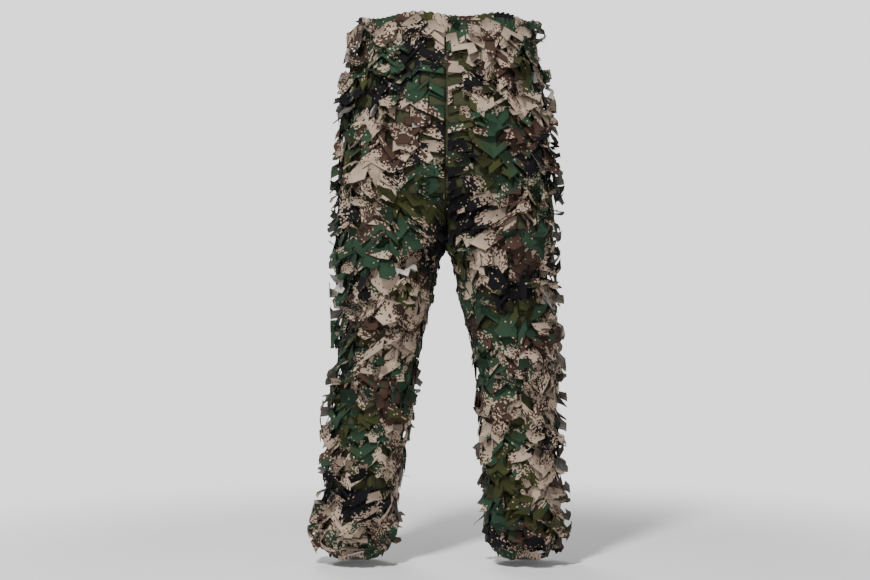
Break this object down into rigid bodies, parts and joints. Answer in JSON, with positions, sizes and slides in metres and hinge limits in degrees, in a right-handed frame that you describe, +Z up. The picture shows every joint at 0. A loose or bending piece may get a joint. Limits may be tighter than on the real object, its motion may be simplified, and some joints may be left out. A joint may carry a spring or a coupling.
{
  "type": "leaf camouflage suit trousers",
  "caption": "Full-length leaf camouflage trousers, worn shape: elastic waistband, rows of cut-leaf strip down both legs and elastic cuffs, bending at hips and knees.",
  "frame": {"origin": "centre of the waist opening, level with the top edge of the waistband", "axes": "+Z up along the garment, +Y towards the seat, so the front faces -Y and the wearer's left leg is on the +X side"},
  "size_m": [0.46, 0.246, 1.008],
  "materials": {
    "base_cloth": "dark olive woven polyester, matt",
    "printed_cloth": "pixel camouflage print on plain weave, matt",
    "leaf_cloth": "pixel camouflage print on crisp thin plain weave with heat-cut edges, matt",
    "elastic": "black braided elastic"
  },
  "bodies": {
    "hips": {"waistband": "printed_cloth", "waist_elastic": "elastic", "right_front_seat_panel": "base_cloth", "right_back_seat_panel": "base_cloth", "left_front_seat_panel": "base_cloth", "left_back_seat_panel": "base_cloth", "right_seat_leaf_row_1": "leaf_cloth", "right_seat_leaf_row_2": "leaf_cloth", "right_seat_leaf_row_3": "leaf_cloth", "right_seat_leaf_row_4": "leaf_cloth", "right_seat_leaf_row_5": "leaf_cloth", "right_seat_leaf_row_6": "leaf_cloth", "left_seat_leaf_row_1": "leaf_cloth", "left_seat_leaf_row_2": "leaf_cloth", "left_seat_leaf_row_3": "leaf_cloth", "left_seat_leaf_row_4": "leaf_cloth", "left_seat_leaf_row_5": "leaf_cloth", "left_seat_leaf_row_6": "leaf_cloth"},
    "right_thigh": {"right_front_thigh_panel": "base_cloth", "right_back_thigh_panel": "base_cloth", "right_thigh_leaf_row_1": "leaf_cloth", "right_thigh_leaf_row_2": "leaf_cloth", "right_thigh_leaf_row_3": "leaf_cloth"},
    "left_thigh": {"left_front_thigh_panel": "base_cloth", "left_back_thigh_panel": "base_cloth", "left_thigh_leaf_row_1": "leaf_cloth", "left_thigh_leaf_row_2": "leaf_cloth", "left_thigh_leaf_row_3": "leaf_cloth"},
    "right_shin": {"right_front_shin_panel": "base_cloth", "right_back_shin_panel": "base_cloth", "right_shin_leaf_row_1": "leaf_cloth", "right_shin_leaf_row_2": "leaf_cloth", "right_shin_leaf_row_3": "leaf_cloth", "right_shin_leaf_row_4": "leaf_cloth", "right_shin_leaf_row_5": "leaf_cloth", "right_shin_leaf_row_6": "leaf_cloth", "right_cuff": "printed_cloth", "right_cuff_elastic": "elastic"},
    "left_shin": {"left_front_shin_panel": "base_cloth", "left_back_shin_panel": "base_cloth", "left_shin_leaf_row_1": "leaf_cloth", "left_shin_leaf_row_2": "leaf_cloth", "left_shin_leaf_row_3": "leaf_cloth", "left_shin_leaf_row_4": "leaf_cloth", "left_shin_leaf_row_5": "leaf_cloth", "left_shin_leaf_row_6": "leaf_cloth", "left_cuff": "printed_cloth", "left_cuff_elastic": "elastic"}
  },
  "joints": [
    {"name": "right_hip", "type": "hinge", "parent": "hips", "child": "right_thigh", "pos_m": [-0.098, -0.1245, -0.428], "axis": [-1, 0, 0], "range_deg": [0, 90]},
    {"name": "left_hip", "type": "hinge", "parent": "hips", "child": "left_thigh", "pos_m": [0.098, -0.1245, -0.428], "axis": [-1, 0, 0], "range_deg": [0, 90]},
    {"name": "right_knee", "type": "hinge", "parent": "right_thigh", "child": "right_shin", "pos_m": [-0.124, 0.092, -0.608], "axis": [1, 0, 0], "range_deg": [0, 120]},
    {"name": "left_knee", "type": "hinge", "parent": "left_thigh", "child": "left_shin", "pos_m": [0.13, 0.092, -0.608], "axis": [1, 0, 0], "range_deg": [0, 120]}
  ]
}
